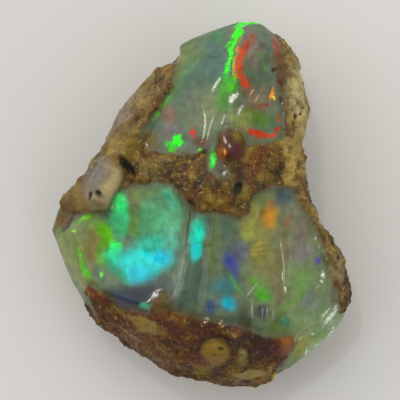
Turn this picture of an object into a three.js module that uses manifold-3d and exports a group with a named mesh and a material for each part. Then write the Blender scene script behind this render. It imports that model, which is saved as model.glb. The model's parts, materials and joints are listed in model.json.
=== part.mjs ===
// A rough precious opal with its host rock still on it, lying on its flattest broken face.
// Millimetres, +Z up. The opal windows look up, +Y is towards the narrow end, and the
// origin is on the resting face, at the middle of the stone's outline.

import * as THREE from "three";
import { ConvexGeometry } from "three/addons/geometries/ConvexGeometry.js";
import { mergeVertices } from "three/addons/utils/BufferGeometryUtils.js";
import Module from "manifold-3d";

const wasm = await Module();
wasm.setup();

// Driving dimensions.
const BASE_Z = 0; // height of the resting face
const FAR = 40; // further out than any point of the stone
const SCAR_SIDES = 24; // facets round a scar
const SCAR_RINGS = 6; // facets from its middle to its edge
const SCAR_MARGIN = 1.5; // how far the cutter runs past the scar's edge, in scar radii
const TOP_FACE = 0.8; // a face whose outward direction rises more steeply than this looks up
const LUMP_STRAY = 0.3; // how far a patch's lump strays from its place, in spacings
const PATCH_FLATNESS = 0.3; // thickness of a patch's lumps over their width
const LUMP_ROUGH = 0.2; // how far a lump's corners stand in from the ball, in radii
const LUMP_DETAIL = 1; // subdivisions of the icosahedron under a lump
const SMALLEST_DETAIL = 0.01; // slivers thinner than this are merged away

const UP = new THREE.Vector3(0, 0, 1);
const NORTH = new THREE.Vector3(0, 1, 0);

// The block before it chipped: the corners where its fracture planes meet, [x, y, z].
const CORNERS = {
  // The crest of the narrow end, then the keel and the arrises of the wide end.
  front: [
    [2.6, 10.3, 7.0],
    [1.8, 7.2, 8.2],
    [1.9, 3.9, 9.0],
    [1.6, 0.2, 9.6],
    [-0.8, 0.4, 9.4],
    [-1.7, -5.9, 8.5],
    [0.9, -6.3, 8.8],
    [5.7, -2.4, 8.2],
    [6.1, -7.0, 6.7],
  ],
  shoulders: [
    [-1.9, 7.3, 6.5],
    [-4.1, 3.5, 6.9],
    [-6.4, 0.2, 6.4],
    [-8.1, -1.75, 5.5],
    [-6.6, -4.9, 5.8],
    [5.0, 8.9, 6.1],
    [5.4, 6.0, 6.9],
    [5.0, 3.2, 7.7],
    [6.0, -0.2, 7.7],
    [7.6, -3.0, 6.6],
    [8.1, -5.5, 6.0],
    [-2.0, -8.2, 6.3],
    [1.0, -8.8, 6.5],
    [3.6, -8.6, 6.1],
  ],
  outline: [
    [-8.94, -1.5, 4.5],
    [-8.2, -3.53, 4.0],
    [-7.65, -5.0, 3.8],
    [-6.8, -6.28, 4.1],
    [-5.5, -7.5, 3.9],
    [-4.4, -8.5, 3.7],
    [-2.82, -9.35, 3.9],
    [-1.28, -10.25, 4.1],
    [1.14, -10.75, 3.8],
    [3.3, -11.0, 3.9],
    [4.5, -10.65, 3.6],
    [6.36, -9.1, 3.9],
    [7.8, -8.0, 4.2],
    [8.65, -6.9, 4.3],
    [8.99, -6.1, 4.1],
    [8.88, -4.2, 4.4],
    [6.3, 4.8, 4.8],
    [6.3, 5.6, 4.7],
    [6.2, 6.96, 4.9],
    [5.6, 8.64, 4.7],
    [4.95, 9.93, 4.6],
    [3.8, 10.85, 5.0],
    [3.36, 11.0, 5.3],
    [2.28, 10.94, 5.6],
    [0.6, 10.46, 4.9],
    [-0.6, 10.0, 4.6],
    [-1.44, 9.55, 4.4],
    [-4.9, 5.45, 4.6],
    [-8.1, 0.5, 4.8],
    [-8.6, -0.35, 4.6],
  ],
  flanks: [
    [-8.2, -2.0, 2.9],
    [-6.9, -5.3, 2.4],
    [-3.3, -8.5, 2.3],
    [1.9, -10.2, 2.5],
    [5.7, -8.8, 2.2],
    [8.3, -5.7, 2.7],
    [5.7, 6.3, 2.9],
    [4.9, 9.0, 2.6],
    [2.5, 10.3, 3.0],
    [-0.8, 9.2, 2.7],
    [-3.9, 5.7, 2.4],
    [-7.0, 1.1, 2.8],
  ],
  belly: [
    [-6.0, -1.9, 0.9],
    [-4.7, -5.4, 0.8],
    [-1.6, -7.4, 0.8],
    [1.9, -8.1, 1.0],
    [5.3, -6.6, 0.8],
    [6.2, -3.6, 1.1],
    [4.6, 0.3, 1.0],
    [4.1, 4.8, 0.7],
    [3.1, 7.4, 1.2],
    [0.6, 7.9, 1.3],
    [-2.3, 5.2, 0.8],
    [-4.9, 1.5, 1.1],
  ],
  base: [
    [-3.9, -1.8, BASE_Z],
    [-2.8, -4.7, BASE_Z],
    [0.6, -5.8, BASE_Z],
    [3.5, -4.9, BASE_Z],
    [4.2, -2.0, BASE_Z],
    [2.9, 1.8, BASE_Z],
    [0.9, 3.6, BASE_Z],
    [-1.6, 2.8, BASE_Z],
    [-3.4, 0.6, BASE_Z],
  ],
};

// Conchoidal scars, each a shell-shaped bite. Spot is near the scar's middle, out is the way
// its face looks, half holds its half width and half length, turn is its angle about out in
// degrees, and deep is how far it bites. Unturned, a scar on the top runs along +Y and a scar
// on the side stands upright.
const SCARS = {
  dish: { spot: [-4.5, -2.5, 7], out: [-0.36, -0.05, 1], half: [3.7, 3.9], turn: 8, deep: 0.85 },
  keelFlute: { spot: [-0.1, -3, 9], out: [-0.05, -0.1, 1], half: [0.8, 5.5], turn: -6, deep: 0.25 },
  middleFlute: { spot: [1.6, -3.4, 9], out: [0.1, -0.1, 1], half: [1.25, 5.5], turn: -6, deep: 0.3 },
  rightFace: { spot: [4.1, -3.4, 8], out: [0.22, -0.08, 1], half: [1.65, 5.8], turn: 2, deep: 0.36 },
  farRightFace: { spot: [6.6, -3.9, 7], out: [0.55, -0.1, 1], half: [1.5, 4.6], turn: 17, deep: 0.36 },
  cornerChip: { spot: [8.0, -6.3, 5.5], out: [0.5, -0.45, 1], half: [0.5, 1.0], turn: -36, deep: 0.16 },
  cornerBevel: { spot: [7.0, -8.0, 5], out: [0.5, -0.75, 0.8], half: [2.6, 1.2], turn: 0, deep: 0.3 },
  upperLeftFace: { spot: [-0.8, 6.4, 7], out: [-0.36, 0.1, 1], half: [2.5, 5.0], turn: -24, deep: 0.35 },
  upperRightFace: { spot: [3.8, 7.0, 7], out: [0.42, 0.1, 1], half: [1.9, 4.4], turn: 4, deep: 0.35 },
  upperFoot: { spot: [0.5, 4.4, 8.6], out: [-0.16, -0.1, 1], half: [1.6, 1.3], turn: 0, deep: 0.2 },
  crownLeft: { spot: [0.6, 9.4, 7], out: [-0.5, 0.9, 1], half: [1.6, 1.3], turn: 0, deep: 0.2 },
  // Round the outline.
  waist: { spot: [7.0, 0.9, 4.6], out: [1, 0.28, 0], half: [4.7, 9], turn: 0, deep: 1.4 },
  waistNotch: { spot: [5.9, 3.5, 5], out: [1, 0.3, 0], half: [0.7, 5], turn: 0, deep: 1.2 },
  crownNotch: { spot: [-1.84, 8.89, 5], out: [-0.78, 0.63, 0], half: [0.75, 3], turn: 0, deep: 0.42 },
  leftShoulder: { spot: [-6.6, 2.4, 4.6], out: [-1, 0.7, 0], half: [3.1, 4.5], turn: 0, deep: 0.42 },
  leftFlank: { spot: [-6.9, -5.2, 3], out: [-1, -0.7, -0.6], half: [3.0, 1.9], turn: 12, deep: 0.4 },
  foot: { spot: [-2.2, -9.2, 2.6], out: [-0.4, -1, -0.8], half: [3.2, 2.0], turn: -8, deep: 0.4 },
  rightFoot: { spot: [4.0, -9.9, 2.4], out: [0.35, -1, -0.8], half: [3.2, 1.8], turn: 10, deep: 0.4 },
  rightFlank: { spot: [8.1, -5.6, 2.4], out: [1, -0.4, -0.8], half: [2.6, 1.9], turn: -14, deep: 0.4 },
  topLeft: { spot: [-2.8, 7.2, 2.8], out: [-1, 0.8, -0.8], half: [3.2, 1.8], turn: 15, deep: 0.4 },
  tip: { spot: [2.2, 10.3, 3.2], out: [0, 1, -0.7], half: [2.4, 1.6], turn: -10, deep: 0.35 },
  topRight: { spot: [5.4, 7.4, 2.8], out: [1, 0.3, -0.7], half: [3.0, 1.8], turn: 10, deep: 0.4 },
  leftSpall: { spot: [-6.7, 0.0, 2.4], out: [-1, 0.4, -0.9], half: [3.0, 1.9], turn: -12, deep: 0.4 },
};

// Where host rock covers the stone, seen from above: the border of each patch, how far apart
// its lumps are, and the least and most that their radius and their height above the opal
// come to.
const HOST_ROCK = {
  leftRim: {
    border: [
      [-1.7, 8.3],
      [-2.2, 6.6],
      [-2.9, 5.1],
      [-3.6, 3.3],
      [-4.4, 2.3],
      [-6.3, 1.9],
      [-5.2, 3.5],
      [-4.8, 4.8],
      [-4.1, 5.8],
      [-2.6, 7.6],
    ],
    spacing: 1.0,
    radius: [0.85, 1.1],
    proud: [0.14, 0.22],
  },
  band: {
    border: [
      [-4.3, 3.2],
      [-2.4, 3.2],
      [0.6, 2.8],
      [2.6, 2.8],
      [4.7, 3.6],
      [4.9, 1.6],
      [4.3, 0.4],
      [2.4, -0.6],
      [0.9, -0.1],
      [-1.6, 1.0],
      [-4.2, 2.0],
    ],
    spacing: 1.35,
    radius: [1.2, 1.6],
    proud: [0.18, 0.3],
  },
  rightRim: {
    border: [
      [5.2, 9.4],
      [4.7, 8.2],
      [4.9, 6.4],
      [4.7, 3.9],
      [5.9, 4.0],
      [6.15, 5.4],
      [6.1, 6.8],
      [5.6, 8.5],
    ],
    spacing: 0.9,
    radius: [0.7, 0.9],
    proud: [0.12, 0.18],
  },
  waistRim: {
    border: [
      [4.7, 3.4],
      [5.1, 1.2],
      [5.5, -0.2],
      [6.4, -1.8],
      [7.3, -3.3],
      [7.9, -4.6],
      [8.0, -6.2],
      [8.6, -6.2],
      [8.6, -4.6],
      [7.6, -2.4],
      [6.2, 0.2],
      [5.7, 1.6],
      [5.6, 3.0],
    ],
    spacing: 0.9,
    radius: [0.7, 0.9],
    proud: [0.12, 0.18],
  },
  foot: {
    border: [
      [-7.0, -5.0],
      [-6.1, -5.7],
      [-4.9, -6.2],
      [-3.0, -6.3],
      [-2.4, -5.8],
      [-0.3, -6.8],
      [3.0, -7.2],
      [5.4, -8.2],
      [5.3, -9.0],
      [3.6, -9.9],
      [1.1, -10.0],
      [-1.2, -9.6],
      [-4.4, -8.0],
      [-6.5, -6.0],
    ],
    spacing: 1.45,
    radius: [1.2, 1.6],
    proud: [0.18, 0.3],
  },
};

// Single pieces of host rock: a run of lumps [x, y, radius, proud] stretched into one, and the
// thickness of those lumps over their width.
const PIECES = {
  peg: {
    lumps: [
      [-6.3, 0.4, 0.8, 0.45],
      [-5.8, 1.2, 0.95, 0.65],
      [-5.2, 2.1, 0.9, 0.6],
    ],
    flatness: 0.7,
  },
  bandDome: {
    lumps: [
      [1.6, 3.4, 0.75, 0.4],
      [1.8, 3.1, 0.75, 0.4],
    ],
    flatness: 0.7,
  },
  footNodule: {
    lumps: [
      [0.85, -8.5, 0.8, 0.4],
      [1.05, -8.5, 0.8, 0.4],
    ],
    flatness: 0.7,
  },
};

// A closed geometry as a solid that can be joined and cut.
function solidOf(geometry) {
  const bare = geometry.clone();
  bare.deleteAttribute("normal");
  bare.deleteAttribute("uv");
  const merged = mergeVertices(bare, 1e-4);
  return new wasm.Manifold(
    new wasm.Mesh({
      numProp: 3,
      vertProperties: merged.getAttribute("position").array,
      triVerts: new Uint32Array(merged.index.array),
    }),
  );
}

// A solid as a geometry again.
function geometryOf(solid) {
  const mesh = solid.getMesh();
  const geometry = new THREE.BufferGeometry();
  geometry.setAttribute("position", new THREE.BufferAttribute(mesh.vertProperties, 3));
  geometry.setIndex(new THREE.BufferAttribute(mesh.triVerts, 1));
  geometry.computeVertexNormals();
  return geometry;
}

// The outer skin of a solid, which fills any gap sealed in where lumps meet over a hollow.
function filled(solid) {
  const skins = solid.decompose();
  return skins.reduce((best, each) => (each.volume() > best.volume() ? each : best));
}

function pick([least, most]) {
  return THREE.MathUtils.lerp(least, most, THREE.MathUtils.seededRandom());
}

// A frame on the body's surface, where a line through spot along out comes out of it. Its
// third axis is out, or the surface's own direction where facing is set.
function frameOn(body, spot, out, facing = false) {
  const line = new THREE.Vector3(...out).normalize();
  const start = line.clone().multiplyScalar(FAR).add(new THREE.Vector3(...spot));
  const hit = new THREE.Raycaster(start, line.clone().negate()).intersectObject(body)[0];
  const outward = facing ? hit.face.normal : line;
  const along = outward.z > TOP_FACE ? NORTH : UP;
  const across = along.clone().cross(outward).normalize();
  const frame = new THREE.Matrix4().makeBasis(across, outward.clone().cross(across), outward);
  return frame.setPosition(hit.point);
}

// The tool that cuts a scar: a spherical cap of the scar's depth, closed by a cone above it.
function scarCutter({ spot, out, half, turn, deep }, block) {
  const middling = (half[0] + half[1]) / 2;
  const ballRadius = (middling ** 2 + deep ** 2) / (2 * deep);
  const reach = Math.min(SCAR_MARGIN * Math.asin(middling / ballRadius), Math.PI / 2);
  const profile = [new THREE.Vector2(0, -deep)];
  for (let ring = 1; ring <= SCAR_RINGS; ring++) {
    const angle = (reach * ring) / SCAR_RINGS;
    const height = ballRadius - deep - ballRadius * Math.cos(angle);
    profile.push(new THREE.Vector2(ballRadius * Math.sin(angle), height));
  }
  profile.push(new THREE.Vector2(0, profile.at(-1).y + middling));
  const cutter = new THREE.LatheGeometry(profile, SCAR_SIDES);
  cutter.rotateX(Math.PI / 2);
  cutter.scale(half[0] / middling, half[1] / middling, 1);
  cutter.rotateZ(THREE.MathUtils.degToRad(turn));
  return solidOf(cutter.applyMatrix4(frameOn(block, spot, out)));
}

// The corners of a rough, flattened ball seated on the body and standing proud of it.
function lumpCorners([x, y, radius, proud], flatness, body) {
  const ball = new THREE.IcosahedronGeometry(radius, LUMP_DETAIL);
  ball.scale(1, 1, flatness);
  ball.translate(0, 0, proud - radius * flatness);
  ball.applyMatrix4(frameOn(body, [x, y, 0], UP, true));
  ball.computeBoundingBox();
  const middle = ball.boundingBox.getCenter(new THREE.Vector3());
  const positions = ball.getAttribute("position");
  return Array.from({ length: positions.count }, (_, index) => {
    const corner = new THREE.Vector3().fromBufferAttribute(positions, index);
    return corner.lerp(middle, pick([0, LUMP_ROUGH]));
  });
}

// One piece of host rock: the tightest convex solid round a run of lumps.
function piece({ lumps, flatness }, body) {
  const corners = lumps.flatMap((each) => lumpCorners(each, flatness, body));
  return solidOf(new ConvexGeometry(corners));
}

function isInside(border, x, y) {
  let inside = false;
  border.forEach(([x1, y1], index) => {
    const [x0, y0] = border.at(index - 1);
    const crosses = y0 > y !== y1 > y;
    if (crosses && x < x0 + ((x1 - x0) * (y - y0)) / (y1 - y0)) inside = !inside;
  });
  return inside;
}

// A patch of host rock: lumps on a straying grid, wherever the grid falls inside its border.
function patch({ border, spacing, radius, proud }, body) {
  const stray = [-LUMP_STRAY * spacing, LUMP_STRAY * spacing];
  const box = new THREE.Box2().setFromPoints(border.map((corner) => new THREE.Vector2(...corner)));
  const lumps = [];
  for (let x = box.min.x; x <= box.max.x; x += spacing) {
    for (let y = box.min.y; y <= box.max.y; y += spacing) {
      const lump = [x + pick(stray), y + pick(stray), pick(radius), pick(proud)];
      if (!isInside(border, lump[0], lump[1])) continue;
      lumps.push(piece({ lumps: [lump], flatness: PATCH_FLATNESS }, body));
    }
  }
  return wasm.Manifold.union(lumps);
}

function roughOpal() {
  const corners = Object.values(CORNERS).flat().map((corner) => new THREE.Vector3(...corner));
  const blockGeometry = new ConvexGeometry(corners);
  const block = new THREE.Mesh(blockGeometry);
  let opal = solidOf(blockGeometry);
  for (const scar of Object.values(SCARS)) opal = opal.subtract(scarCutter(scar, block));

  THREE.MathUtils.seededRandom(7);
  const body = new THREE.Mesh(geometryOf(opal));
  const hostRock = [
    ...Object.values(HOST_ROCK).map((each) => patch(each, body)),
    ...Object.values(PIECES).map((each) => piece(each, body)),
  ];
  const stone = filled(wasm.Manifold.union([opal, ...hostRock])).simplify(SMALLEST_DETAIL);

  const look = new THREE.MeshStandardMaterial({ color: 0x8a9a78, roughness: 0.35, metalness: 0 });
  const mesh = new THREE.Mesh(geometryOf(stone), look);
  mesh.name = "rough_opal";
  return mesh;
}

const part = new THREE.Group();
part.add(roughOpal());

export default part;
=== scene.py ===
"""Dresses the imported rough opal: glassy windows, host rock, and a small studio to see it in."""

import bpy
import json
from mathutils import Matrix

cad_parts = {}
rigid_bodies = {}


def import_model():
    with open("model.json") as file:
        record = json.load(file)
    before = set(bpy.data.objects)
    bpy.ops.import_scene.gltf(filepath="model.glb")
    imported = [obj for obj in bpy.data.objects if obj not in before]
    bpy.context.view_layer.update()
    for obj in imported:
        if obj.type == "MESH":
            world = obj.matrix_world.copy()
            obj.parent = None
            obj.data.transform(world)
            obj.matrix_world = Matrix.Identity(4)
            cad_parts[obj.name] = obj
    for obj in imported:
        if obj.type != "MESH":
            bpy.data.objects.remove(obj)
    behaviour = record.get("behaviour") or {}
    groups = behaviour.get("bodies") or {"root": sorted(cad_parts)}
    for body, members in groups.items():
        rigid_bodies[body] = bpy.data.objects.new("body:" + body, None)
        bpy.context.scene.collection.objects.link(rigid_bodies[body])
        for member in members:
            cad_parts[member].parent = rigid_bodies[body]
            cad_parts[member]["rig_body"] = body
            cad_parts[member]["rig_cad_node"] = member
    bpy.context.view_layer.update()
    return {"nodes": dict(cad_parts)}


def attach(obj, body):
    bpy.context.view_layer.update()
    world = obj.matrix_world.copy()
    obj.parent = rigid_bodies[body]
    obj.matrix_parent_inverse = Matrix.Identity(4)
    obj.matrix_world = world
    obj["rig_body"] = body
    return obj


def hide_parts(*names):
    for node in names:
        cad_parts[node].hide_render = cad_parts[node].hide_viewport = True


bl_info = {
    "name": "Rough opal",
    "version": (1, 0, 0),
    "blender": (4, 5, 0),
    "location": "View3D > Sidebar > Rough opal",
    "description": "Builds a rough precious opal with its host rock, and a studio to see it in",
    "category": "Object",
}

import json
import math
from typing import NamedTuple

import bpy
import numpy as np
from bpy.props import FloatProperty, FloatVectorProperty, IntProperty, PointerProperty
from mathutils import Vector, noise

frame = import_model()
CAD_STONE = frame["nodes"]["rough_opal"]

MM = 0.001

# The curve of the screen colours that the tints are written in. Up to the toe it is straight.
SCREEN_FULL = 255
SCREEN_TOE = 0.04045
SCREEN_SLOPE = 12.92
SCREEN_LIFT = 0.055
SCREEN_GAMMA = 2.4


def tint(code):
    """The light of a screen colour written as #rrggbb."""
    light = []
    for start in (1, 3, 5):
        share = int(code[start : start + 2], 16) / SCREEN_FULL
        if share <= SCREEN_TOE:
            light.append(share / SCREEN_SLOPE)
        else:
            light.append(((share + SCREEN_LIFT) / (1 + SCREEN_LIFT)) ** SCREEN_GAMMA)
    return light


# ---------------------------------------------------------------- the stone's places, in mm

# The opal windows seen from above. Host rock covers what is outside them, and where a window
# runs off the stone its border does too.
WINDOWS = {
    "upper": [
        (-1.4, 11.4), (-1.45, 9.5), (-1.45, 8.3), (-1.7, 7.2), (-2.15, 6.3), (-2.75, 5.3),
        (-3.45, 4.5), (-3.5, 3.75), (-3.0, 3.1), (-1.9, 3.0), (-0.5, 2.95), (0.4, 3.15),
        (0.4, 2.4), (0.7, 1.75), (1.4, 1.4), (1.75, 1.75), (1.35, 2.4), (1.0, 3.0),
        (1.15, 4.15), (1.7, 4.45), (2.3, 4.2), (2.55, 3.6), (2.7, 3.35), (3.4, 3.5),
        (4.3, 3.6), (5.0, 3.8), (5.1, 4.6), (5.05, 5.6), (5.15, 6.8), (5.05, 8.0),
        (4.85, 9.1), (4.55, 10.2), (4.6, 11.6),
    ],
    "lower": [
        (-9.6, -0.6), (-8.2, -0.3), (-7.1, -0.3), (-6.6, -0.35), (-5.4, -0.2), (-5.05, 0.6),
        (-4.6, 1.1), (-3.7, 1.25), (-2.5, 1.4), (-1.7, 1.35), (-1.1, 0.8), (-0.6, 0.15),
        (-0.2, -0.3), (0.6, -0.4), (1.5, -0.5), (2.3, -0.65), (2.8, -0.4), (2.9, 0.2),
        (3.3, 0.7), (4.2, 1.0), (4.9, 1.2), (5.5, 0.9), (5.9, 0.05), (6.5, -0.8),
        (7.05, -1.85), (7.5, -2.95), (7.8, -3.8), (8.05, -4.75), (8.2, -5.5), (8.3, -6.1),
        (8.5, -6.7), (9.3, -7.0), (9.4, -8.0), (7.6, -9.7), (5.7, -10.5), (5.2, -9.85),
        (4.85, -9.4), (5.4, -8.85), (5.7, -8.4), (5.4, -7.8), (4.6, -7.85), (3.9, -7.9),
        (3.0, -7.45), (2.1, -7.2), (1.2, -6.85), (0.1, -6.75), (-0.6, -6.4), (-1.45, -6.1),
        (-1.7, -5.5), (-2.1, -5.2), (-2.7, -5.5), (-2.9, -6.3), (-4.2, -6.3), (-4.9, -6.0),
        (-5.6, -5.4), (-6.2, -5.0), (-6.6, -4.65), (-6.8, -5.1), (-6.5, -5.9), (-6.1, -6.9),
        (-7.9, -6.5), (-9.8, -3.4),
    ],
}


class Ball(NamedTuple):
    """A part of the stone's skin inside a ball."""

    at: tuple
    radius: float


# Opal that shows on the sides and underneath.
SIDE_WINDOWS = {
    "left tip": Ball((-8.6, -2.2, 3.4), 2.1),
    "left bevel": Ball((-7.6, -4.4, 3.6), 1.9),
    "corner": Ball((8.1, -8.1, 3.4), 2.0),
    "corner foot": Ball((6.2, -9.2, 3.4), 2.0),
    "crown": Ball((1.2, 10.8, 4.4), 2.5),
    "crown left": Ball((-0.9, 10.0, 4.4), 1.6),
    "right waist": Ball((6.6, -0.6, 3.0), 1.9),
    "back left": Ball((-5.2, 3.0, 2.0), 1.9),
    "keel": Ball((-2.6, -7.2, 1.0), 2.2),
    "back right": Ball((3.6, 6.6, 1.2), 2.2),
    "sole": Ball((-1.2, 0.6, 0.0), 2.6),
}

# How the windows' borders are worn.
TOP_Z = 4.6  # below this height, in mm, a window seen from above closes
TOP_CLOSES = 1.3  # how fast it closes, in mm of border for each mm of height
WANDER = ((1.6, 0.14), (0.5, 0.14))  # the size and the reach of each swell of a border
SIDE_WANDER = ((1.9, 0.8), (0.7, 0.3))  # the same, for swells that only a side window has


class Dab(NamedTuple):
    """A mound or a hollow on the upper side: middle, half widths, heading and height.

    The edge is the share of it that slopes, and the power is 2 for an oval and more for a block.
    """

    at: tuple
    half: tuple
    turn: float
    height: float
    edge: float = 1.0
    power: int = 2


DABS = {
    "peg": Dab((-5.7, 1.05), (0.95, 1.55), 25, 0.35, edge=0.3, power=5),
    "peg step": Dab((-6.35, 1.9), (0.4, 0.6), 25, -0.16, edge=0.4, power=4),
    "peg pit": Dab((-5.98, 0.72), (0.24, 0.17), 50, -0.26),
    "peg slit": Dab((-6.46, 0.55), (0.12, 0.28), 16, -0.22),
    "slot": Dab((-4.35, 2.35), (0.26, 0.8), -32, -0.55),
    "band pit": Dab((2.2, 0.95), (0.26, 0.42), 20, -0.45),
    "dome": Dab((1.85, 3.45), (0.8, 0.95), 0, 0.18),
    "band knob": Dab((3.0, 0.9), (0.4, 0.35), 0, 0.14),
    "round nodule": Dab((0.9, -8.75), (0.95, 0.95), 0, 0.42),
    "nodule pit": Dab((1.2, -8.5), (0.13, 0.1), 0, -0.2),
    "nodule small pit": Dab((0.86, -8.86), (0.08, 0.09), 0, -0.12),
    "small nodule": Dab((2.5, -9.0), (0.5, 0.45), 30, 0.22),
    "amber nodule": Dab((5.1, -8.4), (0.7, 0.6), 30, 0.16),
    "dark nodule": Dab((4.2, -8.6), (0.55, 0.5), 0, 0.12),
    "glassy bump": Dab((-2.2, -5.75), (0.6, 0.75), 30, 0.12),
    "foot flake": Dab((2.8, -10.1), (1.0, 0.4), 80, 0.18, edge=0.5),
    "rim pit": Dab((5.68, 5.28), (0.13, 0.16), 20, -0.26),
    "rim small pit": Dab((5.98, 5.42), (0.1, 0.1), 0, -0.2),
    "rim low pit": Dab((5.6, 4.92), (0.1, 0.12), 0, -0.2),
    "rim deep pit": Dab((6.12, 5.8), (0.1, 0.15), 70, -0.22),
}


# ------------------------------------------------------------------------- colours


class Patch(NamedTuple):
    """A patch of colour seen from above: middle, half widths across and along, and heading.

    The bend is how far its two ends lean back to the left of its heading, in half widths. It
    fades from the softness inside its edge to the softness outside it, as a share of its size.
    """

    at: tuple
    half: tuple
    colour: str
    turn: float = 0.0
    bend: float = 0.0
    soft: float = 0.6
    strength: float = 0.9


# The heights that the upper side's colours and its relief start and are full at, in mm.
UPPER_COLOURS = (2.0, 3.2)
UPPER_RELIEF = (2.5, 4.0)

# How the tones of the opal and of the rock vary by themselves.
BODY_SHADE = "#556b58"
ROCK_SHADE = "#4e3819"
SHADE_SIZE = 1.8  # mm
SHADE_STEP = (-0.3, 0.3)  # the noise that the shade starts and is full at
TONE_DRIFT = (1.3, 0.3)  # the size and the reach of the swells that the tones follow, in mm

# Body tones of the opal, the later ones over the earlier ones.
BODY_TONES = {
    # The upper window.
    "upper blue grey": Patch((0.0, 8.0), (1.7, 2.6), "#4f6c5c", turn=-20),
    "upper blue": Patch((0.9, 8.6), (0.7, 1.3), "#4c6a60", turn=-10, strength=0.8),
    "upper olive": Patch((0.5, 5.6), (1.5, 1.4), "#70775a"),
    "upper green haze": Patch((-0.6, 9.1), (0.8, 0.9), "#6c7f4c", turn=30, strength=0.8),
    "crown teal": Patch((1.1, 10.1), (0.4, 0.5), "#3f7a52", strength=0.7),
    "crown tan": Patch((0.2, 10.5), (0.25, 1.5), "#7d7f58", turn=72, strength=0.8),
    "left edge tan": Patch((-1.2, 8.4), (0.3, 1.0), "#7d7c48", turn=10, strength=0.8),
    "upper green left": Patch((-1.2, 7.4), (0.45, 1.4), "#5f8450", turn=24, strength=0.7),
    "upper right body": Patch((3.6, 7.9), (0.9, 2.2), "#54624a"),
    "upper right top": Patch((3.0, 9.3), (0.7, 1.1), "#7f7264", strength=0.9),
    "upper right brown": Patch((4.8, 8.2), (0.35, 1.6), "#64482a", strength=0.9),
    "upper right floor": Patch((3.6, 6.2), (1.0, 0.8), "#6b6850", strength=0.8),
    "upper rose": Patch((3.5, 6.1), (0.6, 0.7), "#84745e", strength=0.8),
    "upper green floor": Patch((1.4, 6.5), (0.7, 0.9), "#4b8a2f"),
    "upper olive mid": Patch((0.6, 5.9), (0.5, 1.1), "#7c8660", turn=8, strength=0.8),
    "upper low green": Patch((3.3, 5.1), (1.2, 0.5), "#587a30", strength=0.9),
    "upper low olive": Patch((2.4, 4.9), (0.6, 0.7), "#8c9658", strength=0.9),
    "upper pink": Patch((-1.8, 5.3), (0.45, 0.5), "#82654e"),
    "upper lilac": Patch((-1.7, 4.4), (0.7, 0.45), "#706d66"),
    "upper tan corner": Patch((-2.95, 3.8), (0.55, 0.5), "#665826", strength=1.0),
    "upper brown floor": Patch((0.1, 3.75), (0.35, 0.7), "#5d3620", turn=90),
    "dark notch": Patch((1.15, 2.1), (0.5, 0.55), "#3c3d20", strength=0.95),
    # The lower window.
    "right body": Patch((5.2, -3.8), (2.6, 3.4), "#788a5c"),
    "lower teal": Patch((-2.6, -0.8), (1.6, 1.7), "#5a9a72"),
    "lower teal top": Patch((-2.4, 0.6), (0.7, 1.4), "#527f55", turn=80, strength=0.8),
    "top olive": Patch((-3.7, 0.7), (0.5, 1.0), "#6c7c40", turn=80, soft=0.8, strength=0.8),
    "lower slate": Patch((-3.4, -5.45), (2.4, 0.8), "#252e38", strength=1.0),
    "lower slate right": Patch((-2.2, -4.9), (0.6, 0.9), "#46504a", strength=0.8),
    "lower brown": Patch((-6.35, -2.5), (0.75, 1.3), "#7d7648", turn=12),
    "lower orange": Patch((-6.3, -2.3), (0.5, 0.9), "#8a7e50", turn=8, soft=0.9, strength=0.6),
    "left bevel tone": Patch((-7.7, -3.4), (0.75, 2.6), "#86925a", turn=-34, strength=0.9),
    "tip bevel": Patch((-7.4, -1.8), (0.5, 0.8), "#84905a", turn=-20, strength=0.8),
    "tip brown": Patch((-7.75, -0.4), (0.6, 1.3), "#654f24", turn=40, soft=0.3, strength=1.0),
    "tip line": Patch((-7.6, -0.95), (0.12, 0.95), "#2a2c24", turn=43, soft=0.6, strength=1.0),
    "ridge tone": Patch((-1.05, -3.6), (0.38, 2.1), "#6f8270", turn=14, strength=0.9),
    "ridge side": Patch((-0.85, -0.9), (0.22, 1.3), "#6a7450", turn=10, soft=0.7, strength=0.8),
    "middle slate": Patch((-0.3, -4.7), (0.65, 1.6), "#4c6152", turn=8),
    "olive strip": Patch((0.8, -2.4), (0.35, 2.1), "#627648", turn=4, strength=0.9),
    "right slate": Patch((2.0, -2.6), (0.7, 0.8), "#616c5e"),
    "right brown": Patch((4.4, -4.0), (0.4, 1.3), "#6a7046", strength=0.8),
    "mauve": Patch((6.0, -1.6), (0.5, 0.7), "#7d6f62", strength=0.9),
    "mauve low": Patch((6.0, -2.8), (0.6, 0.6), "#827e78"),
    "grey lilac": Patch((6.6, -5.9), (0.9, 0.5), "#6d7270", turn=60),
    "corner green": Patch((7.0, -7.7), (1.6, 1.8), "#829c66", turn=60),
    "corner gold": Patch((6.0, -8.4), (0.8, 0.8), "#94964e", strength=0.9),
    "corner pale": Patch((8.1, -6.8), (0.5, 0.9), "#98b088", turn=30, strength=0.9),
    "corner rim": Patch((7.4, -8.4), (0.45, 1.6), "#98ae84", turn=48, strength=0.9),
    "low right olive": Patch((4.6, -7.2), (1.2, 0.5), "#63763f", turn=90),
    "low middle": Patch((2.6, -6.8), (0.9, 0.4), "#3a422c", turn=90, strength=0.9),
}

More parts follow.
